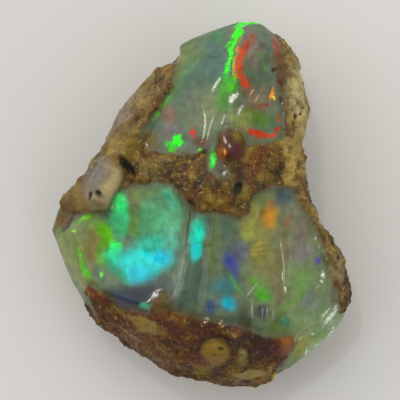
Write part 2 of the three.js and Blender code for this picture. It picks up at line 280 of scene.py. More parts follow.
# Soft play of colour deep in the lower window, over the body tones.
GLOWS = {
    "mint lobe": Patch((-4.75, -0.5), (0.52, 1.25), "#4fc888", turn=0, soft=0.55, strength=1.0),
    "mint bright": Patch((-4.75, 0.1), (0.42, 0.6), "#5cee88", soft=0.6),
    "mint foot": Patch((-5.0, -1.1), (0.6, 0.7), "#55a972", strength=0.6),
    "lime haze left": Patch((-6.4, -1.0), (0.5, 0.45), "#84a456", soft=0.9, strength=0.7),
    "lime left": Patch((-5.6, -1.75), (0.42, 0.75), "#68bc32", turn=-24),
    "lime bright": Patch((-5.05, -2.45), (0.4, 0.4), "#48f066"),
    "lime low": Patch((-5.8, -2.9), (0.28, 0.8), "#62a83a", turn=-4, strength=0.8),
    "olive flame": Patch((-3.95, -1.3), (0.3, 0.8), "#6f9440", turn=-12, soft=0.9, strength=0.8),
    "ochre flame": Patch((-3.85, -0.2), (0.28, 0.7), "#76743e", soft=0.9, strength=0.8),
    "teal streak": Patch((-1.68, 0.4), (0.3, 0.75), "#55ae8a", turn=-34, strength=0.8),
    "teal bloom": Patch((-1.95, -1.1), (0.75, 0.9), "#74c496", soft=0.9, strength=0.8),
    "teal bloom left": Patch((-3.2, -0.6), (0.5, 0.8), "#62aa74", soft=0.9, strength=0.7),
    "cyan start": Patch((-5.1, -2.9), (0.55, 0.5), "#2bd390"),
    "cyan cloud": Patch((-3.4, -3.35), (1.5, 0.8), "#2ad2c8", turn=-6, strength=1.0),
    "cyan foot": Patch((-3.6, -4.1), (0.85, 0.5), "#2fb8c8"),
    "cyan edge": Patch((-4.9, -3.9), (0.3, 0.9), "#35a070", turn=-40, strength=0.7),
    "cyan top": Patch((-2.6, -2.3), (1.2, 0.5), "#4cbca0"),
    "sky": Patch((-2.3, -3.1), (0.55, 0.45), "#50c8ea", turn=-20, soft=0.9, strength=0.7),
    "pale teal": Patch((-1.7, -2.0), (0.4, 0.7), "#6ab49a", turn=10, strength=0.8),
    "deep blue left": Patch((-4.8, -5.7), (0.6, 0.35), "#2e3c58", strength=0.7),
    "small cyan": Patch((-3.2, -5.95), (0.36, 0.18), "#4fa284", turn=-15),
    "lens": Patch((-0.14, -1.95), (0.46, 1.2), "#45b898", turn=8, soft=0.45),
    "lens bright": Patch((-0.2, -2.0), (0.38, 1.0), "#48d8b8", turn=8),
    "lens foot": Patch((-0.3, -2.6), (0.36, 0.5), "#3cb8bc"),
    "violet": Patch((1.85, -3.2), (0.45, 0.4), "#484eaa", turn=60, soft=0.8),
    "violet low": Patch((2.05, -3.85), (0.3, 0.4), "#545890", soft=0.9),
    "violet haze": Patch((2.4, -2.7), (0.6, 0.6), "#66667a", strength=0.7),
    "teal pool": Patch((1.4, -4.8), (0.7, 0.6), "#457878", soft=0.8),
    "teal ray": Patch((2.0, -4.6), (0.1, 0.8), "#5c9a4c", turn=-36, strength=0.7),
    "cyan spot": Patch((1.65, -5.8), (0.42, 0.38), "#2ea6ba", soft=0.6),
    "deep blue": Patch((0.6, -6.0), (0.4, 0.4), "#2c456e", soft=0.8),
    "yellow bands": Patch((3.5, -2.7), (0.5, 0.9), "#8f8a3e"),
    "yellow bands top": Patch((2.9, -1.6), (0.5, 0.4), "#868a44"),
    "yellow line": Patch((3.6, -2.3), (0.05, 0.4), "#b8a84a", turn=84, bend=1.0, soft=0.9),
    "yellow line low": Patch((3.6, -2.6), (0.05, 0.42), "#b8a84a", turn=90, bend=1.0, soft=0.9),
    "yellow line foot": Patch((3.55, -2.9), (0.05, 0.4), "#b8a84a", turn=96, bend=1.0, soft=0.9),
    "gold haze": Patch((3.4, -0.4), (0.6, 0.7), "#8a9048"),
    "gold top": Patch((2.95, -1.2), (0.75, 0.5), "#a6a850", turn=80, soft=0.8),
    "gold low": Patch((3.9, -3.2), (0.9, 1.2), "#8a8044", turn=-10, strength=0.5),
    "rose low": Patch((4.4, -4.6), (0.5, 1.0), "#86755a", turn=-10, strength=0.45),
    "rose haze": Patch((4.9, -2.6), (0.5, 1.2), "#81765a", strength=0.8),
    "rose high": Patch((5.3, -0.2), (0.5, 0.5), "#85806a", strength=0.7),
    "orange": Patch((4.0, -0.55), (0.5, 0.9), "#a07c38", soft=0.9),
    "orange bright": Patch((4.15, -0.65), (0.3, 0.55), "#c98f40", soft=0.8),
    "slate top": Patch((4.9, 0.5), (0.5, 0.65), "#415258", turn=60, soft=0.9),
    "green top": Patch((3.7, 0.35), (0.3, 0.5), "#5a7440", turn=40, strength=0.8),
    "pink": Patch((5.2, -1.0), (0.26, 0.4), "#8e6a4c", turn=20, soft=0.9),
    "violet spot": Patch((6.9, -3.25), (0.26, 0.24), "#6850a8", soft=0.7),
    "green spot": Patch((3.15, -4.4), (0.15, 0.22), "#60a834"),
    "bright green": Patch((3.65, -5.2), (0.3, 0.62), "#42ae26", turn=-50, soft=0.6),
    "green haze": Patch((3.6, -4.8), (0.6, 0.7), "#64903c", turn=-20, strength=0.5),
    "rose": Patch((4.75, -5.5), (0.3, 0.4), "#786a50"),
    "soft lime": Patch((5.9, -4.6), (0.55, 0.7), "#6e984a", strength=0.7),
    "soft lime low": Patch((5.6, -5.6), (0.16, 0.9), "#6f9c48", turn=58, soft=0.8, strength=0.7),
    "dark ripples": Patch((3.6, -6.3), (0.5, 0.42), "#42403e"),
    "teal spot": Patch((5.0, -6.8), (0.26, 0.2), "#489072", soft=0.9),
}

# Crisp, grainy play of colour in the upper window and along the left edge.
FLASHES = {
    "edge lime top": Patch((-6.75, -0.66), (0.13, 0.36), "#78c840", turn=70, soft=0.8),
    "edge lime high": Patch((-7.12, -0.95), (0.1, 0.2), "#6cbc3c", turn=30, soft=0.8),
    "edge lime side": Patch((-7.14, -2.9), (0.15, 0.26), "#70cf40", turn=-8, soft=0.9),
    "edge lime middle": Patch((-6.98, -3.45), (0.14, 0.2), "#66c83c", turn=-20, soft=0.9),
    "edge lime low": Patch((-6.74, -4.0), (0.17, 0.32), "#5cc843", turn=-28, soft=0.9),
    "edge orange": Patch((-7.0, -2.5), (0.1, 0.18), "#a88c40", soft=0.9, strength=0.6),
    "edge spark": Patch((-7.5, -1.6), (0.1, 0.12), "#8ed854", soft=0.7),
    "edge spark low": Patch((-5.9, -4.15), (0.08, 0.16), "#70d060", soft=0.5),
    "lime crest": Patch((2.75, 10.75), (0.16, 0.6), "#3fe82e", turn=76, soft=0.4),
    "lime streak top": Patch((2.25, 10.15), (0.15, 0.75), "#38ea2a", turn=32, bend=0.4, soft=0.5),
    "lime streak": Patch((1.85, 9.1), (0.11, 0.9), "#3fea28", turn=16, bend=-0.5, soft=0.5),
    "lime streak foot": Patch((1.6, 7.95), (0.13, 0.6), "#3fea2c", turn=10, soft=0.6),
    "lime haze": Patch((1.7, 7.2), (0.4, 0.45), "#45b52c", strength=0.8),
    "yellow edge": Patch((2.02, 8.6), (0.1, 1.0), "#a9a52e", turn=12, bend=-0.5),
    "red streak top": Patch((2.75, 9.45), (0.24, 0.62), "#a84a34", turn=38, soft=0.6),
    "red streak": Patch((2.32, 8.45), (0.22, 0.85), "#cc5a38", turn=8, bend=-0.4, soft=0.6),
    "red streak foot": Patch((2.58, 7.3), (0.26, 0.75), "#c0553c", turn=-28, soft=0.7),
    "red far right": Patch((4.55, 9.3), (0.14, 0.55), "#a8401f", turn=-12),
    "brown spot": Patch((4.4, 8.1), (0.14, 0.12), "#3f1406"),
    "brown spot low": Patch((4.75, 7.4), (0.24, 0.28), "#4f1a07"),
    "brown spot foot": Patch((4.75, 6.25), (0.15, 0.2), "#3f1606"),
    "green spark": Patch((3.85, 8.3), (0.09, 0.3), "#3fa03a", turn=-10),
    "green spark high": Patch((3.65, 8.95), (0.08, 0.2), "#4a9244"),
    "orange spark": Patch((4.28, 6.45), (0.13, 0.32), "#e58a24", turn=6, soft=0.4),
    "yellow spark": Patch((4.42, 6.25), (0.08, 0.14), "#e0c838", soft=0.4),
    "faint red": Patch((3.6, 5.8), (0.16, 0.5), "#8c4a36", turn=88, strength=0.55),
    "red arc": Patch((3.6, 4.1), (0.16, 0.85), "#c4402a", turn=92, bend=1.2, soft=0.55),
    "red arc end": Patch((4.55, 4.5), (0.12, 0.28), "#bf4028", turn=40, soft=0.55),
    "red spot right": Patch((4.62, 5.2), (0.09, 0.18), "#b04024"),
    "lime patch": Patch((-1.28, 3.78), (0.33, 0.3), "#34f032", soft=0.4, strength=1.0),
    "lime patch low": Patch(
        (-1.62, 3.42), (0.34, 0.22), "#30e02e", turn=15, soft=0.45, strength=1.0
    ),
    "lime spot": Patch((-0.06, 3.3), (0.13, 0.1), "#38ee34", soft=0.5),
    "lime drip": Patch((0.72, 2.75), (0.15, 0.6), "#30e836", turn=12, soft=0.5),
    "red spot": Patch((-0.3, 4.25), (0.2, 0.2), "#c0402a"),
    "lime edge": Patch((-1.9, 6.4), (0.09, 0.75), "#48b82c", turn=28),
    "lime edge low": Patch((-2.5, 5.5), (0.1, 0.45), "#4cc434", turn=34),
}

# Chipped edges and fine lines in the opal, raised a little. Most of their pale colours are painted
# highlights, and the ridge's dark line is painted shade.
CHIPS_AND_PAINTED_GLINTS = {
    "upper stroke": Patch((0.95, 7.1), (0.08, 0.38), "#dfe8da", turn=32),
    "upper bright": Patch((1.95, 6.3), (0.14, 0.32), "#f4f8f0", turn=38),
    "upper low bright": Patch((2.35, 5.6), (0.09, 0.26), "#d4dccc", turn=30),
    "upper fine": Patch((3.05, 6.65), (0.05, 0.24), "#b8b09c", turn=32),
    "upper fine right": Patch((3.35, 6.3), (0.05, 0.24), "#b8b09c", turn=32),
    "leaf left": Patch((0.3, 4.75), (0.05, 0.8), "#c8ccb0", turn=2, bend=2.0),
    "leaf right": Patch((0.57, 4.56), (0.05, 0.75), "#b8ba9c", turn=16, bend=-1.0),
    "leaf foot": Patch((1.4, 5.1), (0.05, 0.2), "#b4b498", turn=15),
    "ridge line": Patch((-1.1, -3.8), (0.04, 1.5), "#98a88c", turn=15, bend=0.6, strength=0.6),
    # Painted shade: a dark line along the ridge's edge.
    "ridge painted shade": Patch(
        (-0.7, -1.3), (0.035, 1.5), "#2f4a3c", turn=7, bend=-1.0, soft=0.6, strength=0.9
    ),
    "dome line": Patch((2.53, 3.85), (0.035, 0.42), "#a8ac84", turn=-12),
    "dome fleck": Patch((1.3, 4.84), (0.04, 0.12), "#d8dca8", turn=20),
    "dome fleck low": Patch((1.5, 4.6), (0.05, 0.06), "#b4b890"),
    "foot glint low": Patch((-2.98, -5.6), (0.05, 0.16), "#dfe4da", turn=50),
    "foot glint": Patch((-2.66, -5.33), (0.15, 0.22), "#f6f8f2", turn=25),
    "foot glint high": Patch((-2.42, -5.02), (0.04, 0.18), "#c4ccc0", turn=62),
    "drip glint": Patch((1.42, 1.82), (0.09, 0.15), "#dfe6da", turn=20),
    "crease": Patch((4.92, -3.7), (0.035, 1.5), "#a9b48c", turn=-4, bend=2.2),
    "crease bright": Patch((4.85, -4.2), (0.05, 0.22), "#dfe4c8", turn=0),
    "crease foot": Patch((5.03, -5.0), (0.05, 0.2), "#ccd4a8", turn=-12),
    "white line": Patch((3.05, -4.95), (0.05, 0.4), "#a8b090", turn=35),
    "white line low": Patch((3.06, -6.1), (0.06, 0.5), "#9aa08c", turn=-4),
    "ripple": Patch((3.68, -6.3), (0.04, 0.3), "#8c9088"),
    "ripple middle": Patch((3.95, -6.35), (0.04, 0.28), "#8c9088"),
    "ripple right": Patch((4.3, -6.4), (0.04, 0.34), "#8c9088"),
    "rim glint top": Patch((6.83, -1.95), (0.06, 0.12), "#c8d0c0", turn=15),
    "rim glint upper": Patch((7.02, -2.5), (0.05, 0.1), "#aab4a0"),
    "rim glint side": Patch((7.5, -3.2), (0.08, 0.1), "#ccd4c4", turn=30),
    "rim glint": Patch((7.28, -4.15), (0.11, 0.16), "#f2f5ee", turn=-15),
    "rim glint foot": Patch((7.2, -4.5), (0.07, 0.12), "#ccd4c4", turn=-40),
    "rim glint low": Patch((6.95, -4.85), (0.04, 0.16), "#aab4a0", turn=50),
    "corner stroke": Patch((7.85, -6.6), (0.11, 0.62), "#eef2e8", turn=38),
    "corner stroke left": Patch((7.52, -6.38), (0.07, 0.34), "#dfe8d4", turn=40),
    "corner cap": Patch((8.16, -6.12), (0.17, 0.2), "#f6f8f0", turn=10),
    "rim shelf": Patch((7.85, -7.7), (0.05, 0.34), "#d4dec8", turn=42),
    "rim shelf low": Patch((7.05, -8.42), (0.05, 0.36), "#bccab0", turn=58),
    "rim shelf foot": Patch((6.38, -8.85), (0.06, 0.2), "#ccd6bc", turn=10),
    "corner fleck": Patch((7.2, -8.4), (0.06, 0.14), "#a0b090", turn=20),
    "corner speck": Patch((6.6, -8.9), (0.07, 0.1), "#c4ccb0"),
    "corner speck right": Patch((7.6, -7.9), (0.05, 0.12), "#b8c4a8", turn=45),
    "corner speck low": Patch((6.0, -7.95), (0.05, 0.08), "#b8c4a0", turn=10),
    "corner speck mid": Patch((6.75, -7.7), (0.06, 0.07), "#d0d8bc"),
    "corner speck high": Patch((7.35, -7.35), (0.05, 0.07), "#b8c4a0"),
    "corner speck rim": Patch((8.0, -7.3), (0.06, 0.12), "#dce4d0", turn=40),
    "corner speck foot": Patch((6.4, -8.5), (0.05, 0.06), "#b8c4a0"),
    "border glint": Patch((0.42, -6.65), (0.1, 0.08), "#d4d4c4"),
    "border glint right": Patch((1.25, -6.85), (0.09, 0.09), "#c4c4b0"),
    "peg glint": Patch((-5.2, -0.1), (0.07, 0.1), "#dce4d0"),
}
CHIP_HEIGHT = 0.05  # mm
CHIP_WIDTH = 0.13  # the least half width of a chip's relief, in mm

# Tones of the host rock, the later ones over the earlier ones.
ROCK_TONES = {
    "left rim": Patch((-4.9, 4.3), (1.3, 4.4), "#857653", turn=36),
    "left rim grey": Patch((-4.6, 5.6), (0.55, 2.4), "#8b7f70", turn=38),
    "left rim brown": Patch((-3.0, 7.2), (0.45, 1.2), "#7a6c40", turn=36, strength=0.8),
    "slot side": Patch((-3.95, 3.1), (0.45, 0.7), "#8f7c48"),
    "band": Patch((0.6, 1.6), (1.5, 4.2), "#503c18", turn=98),
    "band left": Patch((-2.7, 2.2), (0.7, 1.0), "#72643a", turn=90),
    "band brown": Patch((-1.4, 2.0), (0.6, 0.9), "#46310f", turn=80, strength=0.9),
    "band foot": Patch((1.2, 0.3), (0.5, 1.3), "#6a521f", turn=95, strength=0.8),
    "band gold": Patch((2.9, 1.9), (0.4, 1.2), "#665026", turn=50, strength=0.7),
    "band orange": Patch((3.2, 2.6), (0.45, 1.0), "#6a380a", turn=40, strength=1.0),
    "band right": Patch((4.4, 2.9), (0.4, 0.6), "#6a5530", turn=90, strength=0.8),
    "right rim": Patch((5.7, 6.6), (0.7, 2.8), "#a2966a", turn=-8),
    "right rim pale": Patch((5.8, 6.2), (0.35, 1.8), "#beb488", turn=-6, strength=0.9),
    "right rim waist": Patch((5.4, 2.4), (0.6, 1.8), "#a3905e", turn=-4),
    "right rim low": Patch((7.2, -2.4), (0.5, 3.2), "#85754a", turn=-26),
    "right corner rim": Patch((8.6, -5.0), (0.5, 1.4), "#3e2c16", turn=-12),
    "corner rim tan": Patch((8.0, -3.8), (0.35, 0.8), "#988d64", turn=-20, strength=0.9),
    "foot red": Patch((-0.5, -7.2), (1.1, 5.4), "#4a1f0a", turn=100, strength=1.0),
    "foot dark": Patch((3.2, -8.0), (0.7, 1.6), "#260f05", turn=105, strength=1.0),
    "foot grey": Patch((-3.6, -8.6), (0.9, 2.6), "#44260e", turn=132),
    "foot bottom": Patch((-1.2, -10.1), (0.7, 2.2), "#3a2616", turn=96, strength=0.9),
    "foot left red": Patch((-6.1, -5.3), (0.3, 0.9), "#5c2a10", turn=130),
    "foot gold": Patch((-1.6, -6.5), (0.3, 0.9), "#70491a", turn=110, strength=0.8),
    "foot rust": Patch((-2.2, -7.3), (0.5, 0.9), "#4a2510", turn=110, strength=0.8),
}

# Clasts, pits and nodules in the rock, over its tones. The pits and the slot are painted near
# black, which is painted shade in their hollows, and the glints and the border specks are painted
# highlights.
STAINS_AND_PAINTED_LIGHT = {
    "peg": Patch((-5.7, 1.0), (0.9, 1.5), "#958a70", turn=25, soft=0.2, strength=1.0),
    "peg pale": Patch((-5.25, 1.15), (0.34, 1.0), "#b8aa86", turn=25),
    "peg fleck": Patch((-5.5, 1.7), (0.25, 0.4), "#6f6248", turn=60, strength=0.5),
    "peg foot": Patch((-6.2, 0.1), (0.5, 0.25), "#6a5a38", turn=20, strength=0.7),
    "peg grey": Patch((-6.15, 1.8), (0.5, 1.1), "#77706a", turn=30),
    # Painted shade in the pit and in the slit below.
    "peg pit": Patch((-5.98, 0.72), (0.22, 0.14), "#1a1810", turn=50, soft=0.6),
    "peg slit": Patch((-6.46, 0.55), (0.09, 0.26), "#2c281e", turn=16, soft=0.6),
    "slot side": Patch((-4.1, 3.5), (0.42, 0.8), "#8a7644", turn=10, soft=0.8, strength=0.8),
    # Painted shade in the slot.
    "slot": Patch((-4.35, 2.4), (0.2, 0.6), "#1f2019", turn=-32, soft=0.4),
    "dome": Patch((1.85, 3.45), (0.72, 0.88), "#3e1a0a", soft=0.6, strength=1.0),
    "dome orange": Patch((1.2, 3.12), (0.26, 0.4), "#8f4a0a", soft=0.9, strength=0.9),
    "dome brown": Patch((2.15, 4.18), (0.32, 0.36), "#7a6420", soft=0.8, strength=0.9),
    "dome rim": Patch((1.25, 4.1), (0.25, 0.4), "#5f4c2a", soft=0.8, strength=0.7),
    "dome plum": Patch((2.1, 3.05), (0.35, 0.35), "#521f24", soft=0.9, strength=0.8),
    "dome spark": Patch((1.45, 3.1), (0.05, 0.14), "#f0b070", turn=-8, soft=0.7, strength=1.0),
    # Painted highlights: the dome's glints.
    "dome glint": Patch((1.45, 3.8), (0.05, 0.17), "#c4b4aa", turn=-25, soft=0.7, strength=1.0),
    "dome glint low": Patch((1.7, 3.48), (0.05, 0.14), "#b8aaa0", turn=-8, soft=0.7, strength=1.0),
    "dome glint top": Patch((2.0, 4.46), (0.04, 0.11), "#f0e8b0", turn=-5, soft=0.7, strength=1.0),
    "band pit rim": Patch((2.45, 0.7), (0.3, 0.45), "#7d6a34", turn=20, strength=0.8),
    # Painted shade in the pit.
    "band pit": Patch((2.2, 0.95), (0.28, 0.42), "#38382c", turn=25, soft=0.35),
    # Painted shade in these pits.
    "rim pit": Patch((5.68, 5.28), (0.1, 0.13), "#15120a", turn=20, soft=0.6),
    "rim small pit": Patch((5.98, 5.42), (0.07, 0.07), "#2c2412", soft=0.6),
    "rim low pit": Patch((5.6, 4.92), (0.07, 0.09), "#2c2412", soft=0.6),
    "rim deep pit": Patch((6.12, 5.8), (0.07, 0.12), "#2c2412", turn=70, soft=0.6),
    "foot blush": Patch((-1.6, -8.6), (1.3, 4.6), "#5c3420", turn=106, soft=0.8, strength=0.35),
    "foot grey grain": Patch((-3.4, -8.7), (0.7, 1.9), "#75604e", turn=130, soft=0.9, strength=0.4),
    "foot tip red": Patch((-6.35, -5.1), (0.35, 0.8), "#6a3218", turn=135, soft=0.8, strength=0.7),
    "rim tan": Patch((7.85, -3.9), (0.22, 0.5), "#8c8560", turn=-20, soft=0.8, strength=0.8),
    "foot tan": Patch((-3.35, -6.9), (0.3, 1.0), "#8a7648", turn=104, soft=0.4, strength=1.0),
    "foot pale clast": Patch(
        (-3.0, -7.4), (0.24, 0.65), "#857652", turn=100, soft=0.4, strength=1.0
    ),
    "glassy bump": Patch((-2.2, -5.75), (0.45, 0.55), "#4f431c", turn=30),
    "foot dark red": Patch((3.45, -8.45), (0.65, 0.95), "#32160a", turn=95, soft=0.7, strength=0.9),
    "dark nodule": Patch((3.95, -8.4), (0.55, 0.7), "#34130a", turn=95, strength=1.0),
    "amber edge": Patch((4.9, -9.3), (0.4, 0.7), "#3c1a08", turn=20, strength=0.9),
    "amber nodule": Patch((5.0, -8.25), (0.62, 0.62), "#82460a", turn=30, soft=0.7, strength=1.0),
    "amber light": Patch((5.1, -8.0), (0.3, 0.26), "#985e0c", turn=30, soft=0.9, strength=0.8),
    "amber core": Patch((4.5, -8.35), (0.32, 0.55), "#4c1a08", soft=0.9, strength=0.9),
    "nodule ring": Patch((0.9, -8.75), (1.1, 1.1), "#26140a", soft=0.3, strength=0.9),
    "round nodule": Patch((0.9, -8.75), (0.8, 0.8), "#826b38", soft=0.35, strength=1.0),
    # Painted shade in these pits.
    "nodule pit": Patch((1.2, -8.5), (0.11, 0.09), "#2c1c0a"),
    "nodule small pit": Patch((0.86, -8.86), (0.06, 0.07), "#3a2a10"),
    "small nodule": Patch((2.5, -8.9), (0.3, 0.45), "#857c50", turn=10, soft=0.5, strength=0.95),
    "small nodule side": Patch((2.75, -9.2), (0.16, 0.22), "#6a6036", turn=40, soft=0.6),
    "foot flake": Patch((2.95, -10.1), (0.32, 0.9), "#90825a", turn=82, soft=0.25, strength=1.0),
    "foot olive": Patch((0.15, -9.75), (0.35, 0.6), "#7d7038", turn=100, soft=0.4),
    "foot chip": Patch((4.78, -10.15), (0.18, 0.44), "#b89c48", turn=40, soft=0.3, strength=1.0),
    # Painted highlight on the chip.
    "foot chip glint": Patch((4.9, -10.1), (0.06, 0.3), "#f4efd8", turn=42, soft=0.7, strength=1.0),
    "foot grain": Patch((2.1, -7.5), (0.3, 0.4), "#6f5034", turn=60, strength=0.8),
    # Painted highlights: the specks along the border.
    "border speck": Patch((0.32, -6.82), (0.07, 0.06), "#f6f4ea", soft=0.7, strength=1.0),
    "border speck right": Patch((0.52, -6.76), (0.05, 0.08), "#e8e4d4", soft=0.7, strength=1.0),
    "border speck low": Patch((1.15, -7.0), (0.09, 0.07), "#e4dcc4", soft=0.7, strength=1.0),
    "border speck foot": Patch((1.28, -7.2), (0.05, 0.1), "#c8b890", turn=30, soft=0.7),
    "border speck far": Patch((1.75, -6.95), (0.08, 0.05), "#d0c8a8", soft=0.7),
    "border speck left": Patch((-0.9, -6.75), (0.06, 0.08), "#b0a078", soft=0.7),
    "pale speck": Patch((2.0, -7.7), (0.14, 0.1), "#9c7c58", turn=60, soft=0.6),
    "foot rust low": Patch((-0.2, -9.2), (0.4, 0.8), "#5c2a0a", turn=110, soft=0.7),
    "foot white line": Patch((-4.3, -7.6), (0.04, 0.7), "#8a7c66", turn=125, soft=0.8),
}


class Layer(NamedTuple):
    """A colour laid over another one as a noise goes from low to high, up to its strength."""

    colour: str
    low: float
    high: float
    strength: float


# Broad play of colour on the sides and the back.
SIDE_LAYERS = {
    "green": Layer("#3f7f52", 0.52, 0.72, 0.85),
    "teal": Layer("#3a9a9a", 0.58, 0.76, 0.85),
    "gold": Layer("#a07a34", 0.6, 0.75, 0.85),
    "blue": Layer("#4a56a0", 0.62, 0.76, 0.85),
}
SIDE_START = (0.0, 5.0, 0.0)  # where the first one's noise is taken from, in mm
SIDE_SHIFT = (17.0, 0.0, -9.0)  # and how much further on each next one's is
SIDE_FRAY = -0.08  # share of the mottle that is added to those noises

# Lumps and grain in the rough rock, the later ones over the earlier ones.
ROCK_LAYERS = {
    "pale lumps": Layer("#9c8450", 0.46, 0.68, 0.6),
    "rust lumps": Layer("#4f2208", 0.46, 0.66, 0.65),
    "dark lumps": Layer("#1f1206", 0.48, 0.68, 0.75),
    "pale grain": Layer("#bca878", 0.6, 0.72, 0.4),
    "dark grain": Layer("#180f06", 0.38, 0.28, 0.6),
    "flecks": Layer("#b8a284", 1.16, 1.36, 0.32),
}
HAZE = "#5a4322"  # tone that the opal takes on near the rock


class Spot(NamedTuple):
    """A place on the upper side: middle, half widths across and along, heading and strength."""

    at: tuple
    half: tuple
    turn: float = 0.0
    strength: float = 1.0


SPOT_EDGE = (1.15, 0.75)  # the shares of its size that a spot starts and is full at

# Where the rock is glassy.
GLOSSES = {
    "dome": Spot((1.85, 3.45), (0.8, 0.95)),
    "glassy bump": Spot((-2.2, -5.75), (0.5, 0.6), 30, 0.8),
    "amber nodule": Spot((5.1, -8.4), (0.6, 0.5), 30, 0.3),
    "drip": Spot((1.5, 1.9), (0.3, 0.3), 0, 0.9),
    "foot": Spot((-0.2, -7.2), (0.6, 3.8), 100, 0.3),
    "band": Spot((1.6, 1.8), (0.9, 2.6), 98, 0.2),
}

# Where the rock is smoother than the rest.
CALM = {
    "peg": Spot((-5.7, 1.05), (1.1, 1.75), 25, 0.9),
    "dome": Spot((1.85, 3.45), (0.9, 1.05), 0, 0.55),
    "round nodule": Spot((0.9, -8.75), (0.95, 0.95), 0, 0.9),
    "amber nodule": Spot((5.1, -8.4), (0.7, 0.6), 30, 0.9),
    "glassy bump": Spot((-2.2, -5.75), (0.6, 0.7), 30, 0.9),
    "left rim": Spot((-4.5, 5.6), (0.8, 3.0), 36, 0.5),
    "right rim": Spot((5.9, 6.2), (0.5, 2.4), -6, 0.25),
    "tip": Spot((-7.3, 0.3), (0.6, 1.3), 40, 0.8),
}


# ------------------------------------------------------------------------- relief


class Relief(NamedTuple):
    """A layer of relief: the size of its swells and its height, in mm."""

    size: float
    height: float


ROCK_RELIEFS = {
    "swell": Relief(1.5, 0.4),
    "knobs": Relief(0.7, 0.34),
    "grain": Relief(0.32, 0.26),
}
OPAL_RELIEFS = {
    "undulation": Relief(2.6, 0.12),
    "chatter": Relief(0.8, 0.06),
    "fine chatter": Relief(0.36, 0.03),
}
MERGED = 0.001  # the CAD skin's points are merged within this, in mm
EASE = 0.5  # share of the way that each round of easing moves a point
ROCK_EASED = 6  # rounds of easing that the rock alone gets
ROCK_EDGE = (-0.15, 0.2)  # the depths that the rock's relief starts and is full at, in mm


# ------------------------------------------------------------------------- finish


class Noise(NamedTuple):
    """A noise in the material: the size of its swells in mm, and its detail."""

    size: float
    detail: float


NOISES = {
    "broad warp": Noise(1.3, 1.0),
    "fine warp": Noise(0.25, 1.0),
    "fine": Noise(0.12, 1.0),
    "clumps": Noise(0.32, 1.0),
    "side colours": Noise(1.7, 2.0),
    "veil": Noise(0.5, 3.0),
    "fibre": Noise(0.2, 2.0),
    "lumps": Noise(0.8, 3.0),
    "grain": Noise(0.2, 3.0),
    "bumps": Noise(0.09, 3.0),
}
WARPS = {"broad warp": 0.3, "fine warp": 0.06}  # how far each moves the patches, in mm
FIBRE_STRETCH = (1.0, 0.12, 0.5)  # below 1 draws the fibres out that way


class Step(NamedTuple):
    """A smooth step: start up to low, end from high, and an even curve between."""

    low: float
    high: float
    start: float = 0.0
    end: float = 1.0


STEPS = {
    "mottle": Step(0.2, 0.8, -0.45, 0.45),
    "clumps": Step(0.25, 0.75, -0.4, 0.4),
    "haze": Step(-0.6, 0.1, 0.0, 0.6),
    "vivid": Step(0.15, 0.8),
    "veil": Step(0.25, 0.75, 0.84, 1.28),
    "fibre": Step(0.25, 0.75, 0.94, 1.06),
    "fine shade": Step(0.25, 0.75, 0.85, 1.2),
    "relief shade": Step(-0.15, 0.3, 0.68, 1.2),
    "host": Step(-0.1, 0.08),
    "rock roughness": Step(0.4, 0.66, 0.75, 0.3),
}
SLIGHT = 0.2  # share of the mottle that frays soft patches
CLUMPED = 0.75  # share of the mottle and the clumps that frays the flashes
THINNED = -0.8  # share of the mottle that is added to a patch's strength
OPAL_SATURATION = 1.1
ROCK_SATURATION = 1.22
HOST_DEPTH = 0.15  # depth at which the rock starts where it has no grain, in mm
HOST_GRAIN = 0.3  # how far its grain brings that border outwards, in mm
POLISH = -0.8  # what is added to glassy rock's roughness, as a share of it
BUMP = 0.7
BUMP_HEIGHT = 0.05  # mm
IOR = 1.45
SCATTER = 0.15  # share of the light that is scattered under the skin
SCATTER_REACH = (1.0, 1.0, 0.9)  # of red, green and blue, as shares of the depth
SCATTER_DEPTH = 0.6  # mm


# ------------------------------------------------------------------------- settings


class StoneSettings(bpy.types.PropertyGroup):
    """Sizes and finish of the stone."""

    skin: FloatProperty(
        name="Skin", description="Width of the skin's faces", default=0.11 * MM, unit="LENGTH"
    )
    worn: IntProperty(name="Worn", description="How often its arrises are eased", default=22)
    rock_proud: FloatProperty(
        name="Rock proud",
        description="How far the host rock stands above the opal",
        default=0.14 * MM,
        unit="LENGTH",
    )
    body: FloatVectorProperty(
        name="Body", description="Milky tone of the opal", subtype="COLOR", default=tint("#66735a")
    )
    rock: FloatVectorProperty(
        name="Rock", description="Tone of the host rock", subtype="COLOR", default=tint("#75603a")
    )
    gloss: FloatProperty(
        name="Opal roughness",
        description="How dull the opal's fresh faces are",
        default=0.09,
        min=0,
        max=1,
        subtype="FACTOR",
    )
    # Painted glow: how much emission the vivid opal is given.
    glow: FloatProperty(
        name="Painted glow",
        description="Light that the flashes give beyond plain colour",
        default=0.25,
        min=0,
        max=2,
    )


class StudioSettings(bpy.types.PropertyGroup):
    """The floor, the lamps and the camera."""

    floor: FloatVectorProperty(
        name="Floor", description="Tone of the floor", subtype="COLOR", default=tint("#e6e4e0")
    )
    ambient: FloatProperty(name="Ambient", description="Light from all round", default=0.45)
    lens: FloatProperty(
        name="Lens", description="Focal length of the camera, in mm", default=250.0
    )
    view_width: FloatProperty(
        name="View width",
        description="Width that the camera takes in at the stone's middle height",
        default=24 * MM,
        unit="LENGTH",
    )


# -------------------------------------------------------------------- modelling helpers


def only(piece):
    """Selects that object alone."""
    bpy.ops.object.select_all(action="DESELECT")
    piece.select_set(True)
    bpy.context.view_layer.objects.active = piece


def applied(piece, kind, **settings):
    """Adds a modifier of that kind with those settings, and applies it."""
    only(piece)
    modifier = piece.modifiers.new(kind.title(), kind)
    for name, value in settings.items():
        setattr(modifier, name, value)
    bpy.ops.object.modifier_apply(modifier=modifier.name)


def points_of(piece):
    """The object's vertices in mm."""
    flat = np.empty(len(piece.data.vertices) * 3)
    piece.data.vertices.foreach_get("co", flat)
    return flat.reshape(-1, 3) / MM


